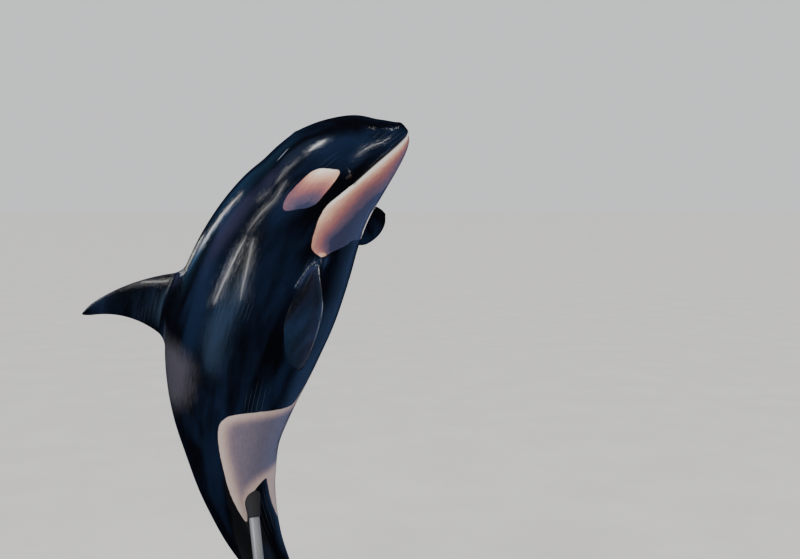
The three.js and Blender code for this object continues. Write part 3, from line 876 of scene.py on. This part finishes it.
def paint_places(mesh):
    """Stores at each point how far it is inside each marking, and where it lies."""
    points = np.zeros(len(mesh.vertices) * 3)
    mesh.vertices.foreach_get("co", points)
    points = points.reshape(-1, 3)
    at, left, up = straight(points)
    part_of = np.zeros(len(mesh.polygons), np.int32)
    mesh.polygons.foreach_get("material_index", part_of)
    part = np.zeros(len(points), int)
    for face, kind in zip(mesh.polygons, part_of):
        for v in face.vertices:
            part[v] = max(part[v], kind)
    body, dorsal = part == BODY_PART, part == DORSAL_PART
    left_on, up_on, turn = on_plain_skin(at, left, up)
    white = np.max([inside_by(outline, at, up_on) for outline in (EYE_PATCH, CHIN, FLANK_PATCH)], 0)
    band = curve(BAND[:, 0], BAND[:, 1])(at) * LENGTH - np.abs(left_on)
    white = np.maximum(white, np.where(up < 0, band, -0.1))
    stands_out = np.hypot(left, up) - np.hypot(left_on, up_on) > 0.05
    white = np.where(dorsal | ((part == FLIPPER_PART) & stands_out), -0.1, white)
    values = {
        "white_by": np.where(part == FLUKE_PART, fluke_white(at, left, up), white),
        "saddle_by": np.where(dorsal, -0.2, inside_by(SADDLE, at, up_on)),
        # Painted shade of the white, by place on the body
        "painted_shade": np.where(body, painted_shade(at, up_on, turn), 0.3),
        # Depth in a hollow, which sets the painted shade there
        "deep": np.where(body, crease_shade(at, up_on, body_point(at, left_on, up_on)), 0),
    }
    for name, value in values.items():
        mesh.attributes.new(name, "FLOAT", "POINT").data.foreach_set("value", value.astype(np.float32))
    lie = np.stack([at * LENGTH, left, up], 1).astype(np.float32)
    mesh.attributes.new("lie", "FLOAT_VECTOR", "POINT").data.foreach_set("vector", lie.ravel())
    lay_flat(mesh, part_of, points, at, left, up, turn)


# Flat map for the baked look: the body in one strip, and each fin's two sides above it
STRIP = Named(left=0.012, right=0.988, low=0.027, high=0.640)
FLAT_SCALE = (STRIP.right - STRIP.left) / LENGTH


def on_strip(at, turn):
    """A face's places on the body's strip, all on one side of its seam."""
    if np.ptp(turn) > math.pi:
        turn = np.where(turn < 0, turn + 2 * math.pi, turn)
    tip = at < 1e-4
    if tip.any() and not tip.all():
        turn = np.where(tip, turn[~tip].mean(), turn)
    share = (turn + math.pi) / (2 * math.pi)
    return STRIP.left + at * LENGTH * FLAT_SCALE, STRIP.low + (STRIP.high - STRIP.low) * share


def lay_flat(mesh, part_of, points, at, left, up, turn):
    flippers = {side: flipper_axes(side) for side in (RIGHT, LEFT)}
    uv = np.zeros((len(mesh.loops), 2))
    for face, part in zip(mesh.polygons, part_of):
        vs = list(face.vertices)
        on_left = left[vs].mean() > 0
        if part == BODY_PART:
            x, y = on_strip(at[vs], turn[vs])
        elif part == DORSAL_PART:
            x = 0.02 + 0.20 * on_left + (at[vs] - 0.33) * LENGTH * FLAT_SCALE
            y = 0.70 + (up[vs] - 0.08 * LENGTH) * FLAT_SCALE
        elif part == FLIPPER_PART:
            base, (out, across, through) = flippers[LEFT if on_left else RIGHT]
            off = points[vs] - base
            over = np.cross(off[1] - off[0], off[2] - off[1]) @ through > 0
            x = 0.44 + 0.185 * over + (off @ out + 0.1) * FLAT_SCALE * 0.95
            y = 0.73 + 0.115 * on_left + (off @ across) * FLAT_SCALE
        else:
            v = left[vs] / FLUKE.half_span
            over = up[vs].mean() > -FLUKE.droop * (v**2).mean()
            x = 0.895 + v * 0.095
            y = 0.70 + 0.14 * over + (at[vs] - 0.9) * LENGTH * FLAT_SCALE * 1.15
        uv[list(face.loop_indices)] = np.stack([x, y], 1)
    mesh.uv_layers.new(name="OFBake").data.foreach_set("uv", uv.astype(np.float32).ravel())


# Materials

class Nodes:
    """Adds shader nodes to a tree. An input is a value or a node's output."""

    def __init__(self, tree):
        self.tree = tree

    def add(self, kind, inputs=None, **settings):
        made = self.tree.nodes.new("ShaderNode" + kind)
        for name, value in settings.items():
            setattr(made, name, value)
        for key, value in (inputs or {}).items():
            if isinstance(value, bpy.types.NodeSocket):
                self.tree.links.new(value, made.inputs[key])
            else:
                made.inputs[key].default_value = value
        return made

    def place(self, output="Object"):
        return self.add("TexCoord").outputs[output]

    def attribute(self, name, output="Fac"):
        return self.add("Attribute", attribute_name=name).outputs[output]

    def math(self, operation, first, second=0.0):
        return self.add("Math", {0: first, 1: second}, operation=operation).outputs[0]

    def times(self, first, second):
        return self.math("MULTIPLY", first, second)

    def plus(self, first, second):
        return self.math("ADD", first, second)

    def swing(self, value, size):
        """A noise's values as a swing to both sides of zero."""
        return self.times(self.math("SUBTRACT", value, 0.5), size)

    def vector(self, operation, *inputs):
        made = self.add("VectorMath", dict(enumerate(inputs)), operation=operation)
        return made.outputs["Value" if operation in ("DOT_PRODUCT", "LENGTH") else "Vector"]

    def stretched(self, place, *scale):
        return self.add("Mapping", {"Vector": place, "Scale": scale}).outputs[0]

    def noise(self, place, scale, detail=3.0, roughness=0.5):
        inputs = {"Vector": place, "Scale": scale, "Detail": detail, "Roughness": roughness}
        return self.add("TexNoise", inputs).outputs[0]

    def ramp(self, value, low, high, to_low=0.0, to_high=1.0):
        inputs = {"Value": value, "From Min": low, "From Max": high, "To Min": to_low, "To Max": to_high}
        return self.add("MapRange", inputs, interpolation_type="SMOOTHSTEP").outputs[0]

    def mixed(self, share, *colours):
        """A colour between two, by a share from 0 to 1."""
        first, second = (c if isinstance(c, bpy.types.NodeSocket) else (*c, 1) for c in colours)
        return self.add("Mix", {0: share, 6: first, 7: second}, data_type="RGBA").outputs[2]

    def graded(self, share, stops):
        """A colour from stops, each a share and a colour."""
        made = self.add("ValToRGB", {"Fac": share})
        points = made.color_ramp.elements
        while len(points) < len(stops):
            points.new(0.5)
        for point, (place, colour) in zip(points, stops):
            point.position = place
            point.color = (*colour, 1)
        return made.outputs["Color"]

    def from_spot(self, spot):
        """The way from a spot to each place, and its metres along the spot's axes."""
        off = self.vector("SUBTRACT", self.place(), tuple(spot.centre))
        return off, *(self.vector("DOT_PRODUCT", off, tuple(axis)) for axis in (spot.tailward, spot.round))


def new_material(name):
    material = bpy.data.materials.new(name)
    material.use_nodes = True
    tree = material.node_tree
    return material, Nodes(tree), next(n for n in tree.nodes if n.type == "BSDF_PRINCIPLED")


def finish_look(n, shader, colour, roughness, settings, height=None, strength=0.0, distance=0.0):
    """Links a shader's colour, roughness and bump, and sets its other numbers."""
    n.tree.links.new(colour, shader.inputs["Base Color"])
    n.tree.links.new(roughness, shader.inputs["Roughness"])
    for name, value in settings.items():
        shader.inputs[name].default_value = value
    if height:
        bump = n.add("Bump", {"Height": height, "Strength": strength, "Distance": distance})
        n.tree.links.new(bump.outputs[0], shader.inputs["Normal"])


# Black skin, and navy for patches of painted sheen on it
INK, NAVY_SHEEN = (0.002, 0.0022, 0.0036), (0.006, 0.0125, 0.033)
SADDLE_GREY = (0.078, 0.074, 0.096)
SCRATCH = (0.1, 0.11, 0.13)
# Pale colour of the painted highlight along the scar's groove
SCAR_HIGHLIGHT = (0.22, 0.24, 0.28)
STAIN = (0.4, 0.33, 0.3)
# Painted shade in the mouth's groove, between the lids, in the blowhole and in the slit
CREASE_SHADE = (0.004, 0.004, 0.005)
# The white's colours by its painted shade, from cream in full light through peach and mauve to slate in deep
# shade
PAINTED_SHADE_WHITES = [
    (0.0, (0.88, 0.82, 0.76)), (0.14, (0.78, 0.57, 0.46)), (0.28, (0.65, 0.37, 0.26)),
    (0.44, (0.43, 0.19, 0.165)), (0.6, (0.29, 0.12, 0.13)), (0.76, (0.145, 0.088, 0.13)),
    (0.92, (0.085, 0.07, 0.125)), (1.0, (0.04, 0.045, 0.095)),
]
# The flank's white by its painted shade, from pale in light to slate in deep shade
PAINTED_SHADE_FLANK_WHITES = [
    (0.0, (0.68, 0.56, 0.51)), (0.3, (0.5, 0.37, 0.34)), (0.55, (0.29, 0.22, 0.25)),
    (0.8, (0.15, 0.135, 0.19)), (1.0, (0.09, 0.09, 0.15)),
]
FLANK_FROM = (2.2, 2.6)  # metres along the axis over which the flank's white takes over


def rakes(n, lie):
    """Faint parallel scratches in a few places, from 0 to 1."""
    place = n.stretched(lie, 0.35, 1.0, 1.0)
    inputs = {"Vector": place, "Scale": 9.0, "Distortion": 5.0, "Detail": 1.0, "Detail Scale": 0.5}
    lines = n.add("TexWave", inputs, wave_type="BANDS", bands_direction="Z").outputs["Fac"]
    where = n.ramp(n.noise(n.stretched(lie, 1.0, 2.0, 2.0), 1.4, 2), 0.60, 0.70)
    return n.times(n.ramp(lines, 0.97, 1.0), where)


def scar_highlight(n):
    """A painted highlight: a pale line along the scar's groove, from 0 to 1."""
    off, x, y = n.from_spot(SCAR)
    wide, half = SCAR_SIZE.wide, SCAR_SIZE.half
    line = n.ramp(n.math("ABSOLUTE", y), wide, 0.3 * wide)
    line = n.times(line, n.ramp(n.math("ABSOLUTE", x), half, 0.4 * half))
    return n.times(line, n.ramp(n.vector("LENGTH", off), 2 * half, 1.5 * half))


def skin_material():
    """Wet skin: black with patches of painted navy sheen, cream to mauve markings in painted shade, and a
    faint saddle.
    """
    material, n, shader = new_material("orca_skin")
    lie = n.attribute("lie", "Vector")
    fine = n.noise(lie, 22, 5, 0.6)
    streaks = n.noise(n.stretched(lie, 0.7, 8.0, 8.0), 7, 4, 0.55)
    broad = n.noise(n.stretched(lie, 0.3, 1.5, 1.5), 2.6, 3)
    rake = rakes(n, lie)
    white = n.ramp(n.plus(n.attribute("white_by"), n.swing(fine, 0.012)), -0.0035, 0.0045)
    saddle = n.ramp(n.plus(n.attribute("saddle_by"), n.swing(streaks, 0.16)), -0.05, 0.20, 0, 0.75)
    # Broad patches of painted navy sheen on the black
    dark = n.mixed(n.ramp(broad, 0.42, 0.68), INK, NAVY_SHEEN)
    dark = n.mixed(saddle, dark, SADDLE_GREY)
    dark = n.mixed(n.times(rake, 0.35), dark, SCRATCH)
    # Painted highlight along the scar's groove
    dark = n.mixed(scar_highlight(n), dark, SCAR_HIGHLIGHT)
    # Painted shade on the white markings, broken by streaks
    shade = n.plus(n.attribute("painted_shade"), n.swing(streaks, 0.22))
    tailward = n.ramp(n.add("SeparateXYZ", {0: lie}).outputs[0], *FLANK_FROM)
    pale = n.mixed(tailward, n.graded(shade, PAINTED_SHADE_WHITES), n.graded(shade, PAINTED_SHADE_FLANK_WHITES))
    pale = n.mixed(n.ramp(fine, 0.58, 0.8, 0, 0.18), pale, STAIN)
    colour = n.mixed(white, dark, pale)
    # Painted shade darkens the mouth's groove, the lids' opening, the blowhole and the slit
    colour = n.mixed(n.times(n.attribute("deep"), 0.92), colour, CREASE_SHADE)
    wet = n.ramp(n.noise(lie, 6, 4, 0.6), 0.3, 0.75, 0.07, 0.16)
    pores = n.plus(n.times(n.noise(lie, 60, 4, 0.6), 0.25), n.noise(lie, 9, 3))
    height = n.math("SUBTRACT", n.plus(pores, n.times(streaks, 1.3)), n.times(rake, 0.5))
    settings = {"Specular IOR Level": 0.4, "Coat Weight": 0.3, "Coat Roughness": 0.05}
    finish_look(n, shader, colour, n.plus(wet, n.times(rake, 0.15)), settings, height, 0.4, 0.004)
    return material


def eye_material(side):
    """A wet dark brown eye with a darker pupil and a pale rim."""
    material, n, shader = new_material("orca_eye_left" if side > 0 else "orca_eye_right")
    off, x, y = n.from_spot(EYES[side])
    far = n.vector("LENGTH", n.add("CombineXYZ", {0: n.times(x, 0.75), 1: y}).outputs[0])
    fibre = n.noise(off, 420, 3)
    iris = n.mixed(fibre, (0.014, 0.007, 0.004), (0.036, 0.016, 0.008))
    colour = n.mixed(n.ramp(far, 0.0040, 0.0052), (0.002, 0.002, 0.003), iris)
    colour = n.mixed(n.ramp(far, 0.0105, 0.0135), colour, (0.10, 0.055, 0.045))
    settings = {"Coat Weight": 1.0, "Coat Roughness": 0.02}
    finish_look(n, shader, colour, n.ramp(fibre, 0.3, 0.7, 0.05, 0.12), settings)
    return material


def stand_material(name, colour, worn, metallic, rough, scale, stretch):
    """Paint, brushed metal or rubber, with slow stains, fine marks and its own gloss."""
    material, n, shader = new_material(name)
    place = n.place()
    marks = n.noise(n.stretched(place, *stretch), scale, 4, 0.65)
    colour = n.mixed(n.ramp(n.noise(place, 1.7, 4), 0.3, 0.75), colour, worn)
    gloss = n.ramp(marks, 0.25, 0.8, rough * 0.75, rough * 1.3)
    finish_look(n, shader, colour, gloss, {"Metallic": metallic}, marks, 0.2, 0.001)
    return material


# The animal

def dress(made, material):
    """Gives a piece one material and smooth shading."""
    data = made.data
    data.materials.clear()
    data.materials.append(material)
    data.polygons.foreach_set("material_index", np.zeros(len(data.polygons), np.int32))
    data.polygons.foreach_set("use_smooth", np.ones(len(data.polygons), bool))
    data.update()


skin_look = skin_material()
skin = joined_skin(skin_look)
paint_places(skin.data)
dress(skin, skin_look)
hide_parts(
    "head", "lower_jaw", "chest", "belly", "tail_stock",
    "dorsal_fin", "flipper_left", "flipper_right", "fluke_left", "fluke_right",
)
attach(skin, "root")


def eyeball(side):
    """A round eye with a slightly bulging front, sunk behind the lids."""
    spot = EYES[side]
    rows, around, bulge = 28, 40, 0.012
    polar = np.linspace(0, math.pi, rows)[1:-1, None, None]
    turn = (np.arange(around) / around * 2 * math.pi)[:, None]
    radius = EYE.radius * (1 + bulge * hump(polar, 0.35))
    centre = spot.centre + spot.out * (EYE.proud - EYE.radius)
    across = np.cos(turn) * spot.tailward + np.sin(turn) * spot.round
    rings = centre + radius * (np.cos(polar) * spot.out + np.sin(polar) * across)
    front, back = (centre + spot.out * EYE.radius * reach for reach in (1 + bulge, -1))
    made = mesh_object("eyeball_left" if side > 0 else "eyeball_right", *loft(rings, front, back))
    dress(made, eye_material(side))
    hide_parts("eye_left" if side > 0 else "eye_right")
    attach(made, "root")


for side in (RIGHT, LEFT):
    eyeball(side)

# The stand: colour, worn colour, metallic, roughness, and the marks' scale and stretch
STAND_LOOKS = {
    "stand_paint": ((0.04, 0.042, 0.046), (0.06, 0.062, 0.066), 0.0, 0.42, 60, (1, 1, 1)),
    "stand_steel": ((0.46, 0.47, 0.48), (0.36, 0.37, 0.38), 0.6, 0.38, 30, (1, 1, 0.05)),
    "stand_pad": ((0.018, 0.018, 0.02), (0.03, 0.03, 0.032), 0.0, 0.65, 90, (1, 1, 1)),
}
stand_materials = {name: stand_material(name, *look) for name, look in STAND_LOOKS.items()}
for part in frame["record"]["subparts"]:
    if part["node"].startswith("stand_"):
        node = frame["nodes"][part["node"]]
        node.data.materials.clear()
        node.data.materials.append(stand_materials[part["material_slot"]])

# Stage: a pale floor, soft lights and the camera

def add_light(name, kind, place, turned, colour):
    made = new_object(name, bpy.data.lights.new(name, kind))
    made.data.color = colour
    made.location = place
    made.rotation_euler = turned.to_euler()
    made.visible_camera = False
    return made


SUN_ANGLE = math.radians(50)


def soft_sun(name, place, power, colour):
    """Soft light from one side, which the skin doesn't mirror."""
    made = add_light(name, "SUN", place, (-Vector(place)).to_track_quat("-Z", "Y"), colour)
    made.data.energy = power
    made.data.angle = SUN_ANGLE
    made.visible_glossy = False


def way(turn, rise):
    """A direction by degrees from -Y toward +X, and degrees up."""
    turn, rise = math.radians(turn), math.radians(rise)
    return Vector((math.sin(turn) * math.cos(rise), -math.cos(turn) * math.cos(rise), math.sin(rise)))


def streak_lamp(name, near, start, end, width, glow, colour, away=6.0):
    """A long thin lamp between two directions as seen from a place on the skin."""
    ends = [Vector(near) + way(*turn_rise) * away for turn_rise in (start, end)]
    middle = (ends[0] + ends[1]) / 2
    back = (middle - Vector(near)).normalized()
    along = (ends[1] - ends[0]).normalized()
    along = (along - back * along.dot(back)).normalized()
    axes = Matrix([along.cross(back), along, back]).transposed()
    light = add_light(name, "AREA", middle, axes, colour).data
    light.shape = "ELLIPSE"
    light.size, light.size_y = width, (ends[1] - ends[0]).length
    light.energy = glow * math.pi * light.size * light.size_y


PALE, WARM, COLD = (1.0, 0.99, 0.97), (1.0, 0.9, 0.84), (0.24, 0.52, 1.0)
# Where from, power and colour
SUNS = {
    "front_sun": ((-3.0, -5.0, 6.5), 2.7, (1.0, 0.97, 0.93)),
    "back_sun": ((4.0, 6.0, 7.0), 1.7, (0.95, 0.97, 1.0)),
    "right_sun": ((7.0, -3.0, 4.0), 0.5, (1.0, 0.95, 0.92)),
}
# Place on the skin, directions of the lamp's two ends, width, glow, colour, and for some how far away
STREAKS = {
    "head_blotch": ((0.49, -1.02, 5.25), (-38, 56), (-41, 43), 0.5, 26, PALE),
    "head_dots": ((0.26, -1.03, 5.08), (-44, 42), (-63, 20), 0.05, 36, PALE),
    "neck_streak": ((0.05, -1.02, 4.75), (-35, 24), (-50, 0), 0.24, 11, PALE),
    "flank_streak": ((-0.28, -0.93, 4.2), (-46, 3), (-57, -22), 0.22, 19, PALE),
    "flank_streak_two": ((-0.13, -0.97, 4.2), (-37, -2), (-30, -34), 0.16, 14, PALE),
    "beak_arc": ((0.92, -1.02, 5.24), (13, 1), (60, 40), 0.13, 22, PALE),
    "snout_glint": ((1.07, -0.91, 5.38), (123, 68), (126, 70), 0.14, 60, PALE),
    "back_streak": ((-0.45, -0.75, 4.5), (-108, 28), (-128, 4), 0.6, 1.7, COLD),
    "chest_rim": ((0.87, -0.52, 4.58), (172, -9), (168, -3), 0.08, 6, WARM, 2.5),
    "flipper_rim": ((0.34, -1.00, 4.00), (-122, 12), (-112, 34), 0.35, 10, WARM),
    "fin_rim": ((-1.4, -0.31, 3.99), (-153, 26), (-153, 8), 0.1, 7, PALE, 2.5),
}
for name, sun in SUNS.items():
    soft_sun(name, *sun)
for name, streak in STREAKS.items():
    streak_lamp(name, *streak)


def floor():
    size = 3000.0
    corners = np.array([[-size, -size, 0], [size, -size, 0], [size, size, 0], [-size, size, 0]], float)
    made = mesh_object("floor", corners, [(0, 1, 2, 3)])
    material, n, shader = new_material("floor")
    colour = n.mixed(n.ramp(n.noise(n.place(), 0.7, 4), 0.3, 0.7), (0.66, 0.65, 0.63), (0.70, 0.69, 0.67))
    n.tree.links.new(colour, shader.inputs["Base Color"])
    shader.inputs["Roughness"].default_value = 0.75
    shader.inputs["Specular IOR Level"].default_value = 0.2
    made.data.materials.append(material)
    made.visible_glossy = False
    made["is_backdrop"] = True


floor()


# What the wet skin mirrors of the room: a direction, the cosine at its edge, and a colour
SHEENS = [
    ((-0.8, -0.58, 0.05), 0.8, (0.055, 0.11, 0.26)),  # the flank
    ((-0.5, -0.6, 0.62), 0.85, (0.05, 0.095, 0.23)),  # the melon
    ((0.4, -0.72, 0.55), 0.88, (0.06, 0.11, 0.24)),  # the beak
    ((0.694, 0.583, -0.423), 0.79, (0.09, 0.16, 0.36)),  # the chest
    ((-0.78, 0.45, 0.43), 0.86, (0.045, 0.14, 0.27)),  # the back
    ((-0.931, -0.164, 0.326), 0.93, (0.5, 0.52, 1.15)),  # beside the back
    ((-0.63, -0.294, 0.719), 0.92, (0.25, 0.42, 0.85)),  # over the eye patch
    ((-0.572, -0.613, -0.545), 0.956, (0.45, 0.8, 1.4)),  # below the flank's streaks
]
ROOM = (0.006, 0.009, 0.02)
DAYLIGHT, BACKDROP = (0.24, 0.25, 0.27), (0.82, 0.83, 0.85)


def world():
    """A pale backdrop, an even light, and a dark room with blue walls for the skin to mirror."""
    made = bpy.data.worlds.new("studio")
    bpy.context.scene.world = made
    made.use_nodes = True
    n = Nodes(made.node_tree)
    rays = n.add("LightPath").outputs
    toward = n.place("Generated")
    room = ROOM
    for direction, edge, colour in SHEENS:
        along = n.vector("DOT_PRODUCT", toward, tuple(Vector(direction).normalized()))
        room = n.mixed(n.ramp(along, edge, 1.0), room, colour)
    seen = n.mixed(rays["Is Camera Ray"], n.mixed(rays["Is Glossy Ray"], DAYLIGHT, room), BACKDROP)
    back = next(node for node in n.tree.nodes if node.type == "BACKGROUND")
    n.tree.links.new(seen, back.inputs["Color"])


world()

# The camera stands where the picture's eye level and horizon put it
CAMERA = Named(lens=49.46, sensor=36.0, back=9.5, right=-0.07, below_snout=0.646, pitch=3.774)
camera = new_object("camera", bpy.data.cameras.new("camera"))
camera.data.lens = CAMERA.lens
camera.data.sensor_width = CAMERA.sensor
camera.location = SNOUT + np.array([CAMERA.right, -CAMERA.back, -CAMERA.below_snout])
camera.rotation_euler = (math.radians(90 - CAMERA.pitch), 0, 0)
bpy.context.scene.camera = camera

boxes = {"cad": cad_box, "visual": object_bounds()}
{name: [list(corner) for corner in box] for name, box in boxes.items()}
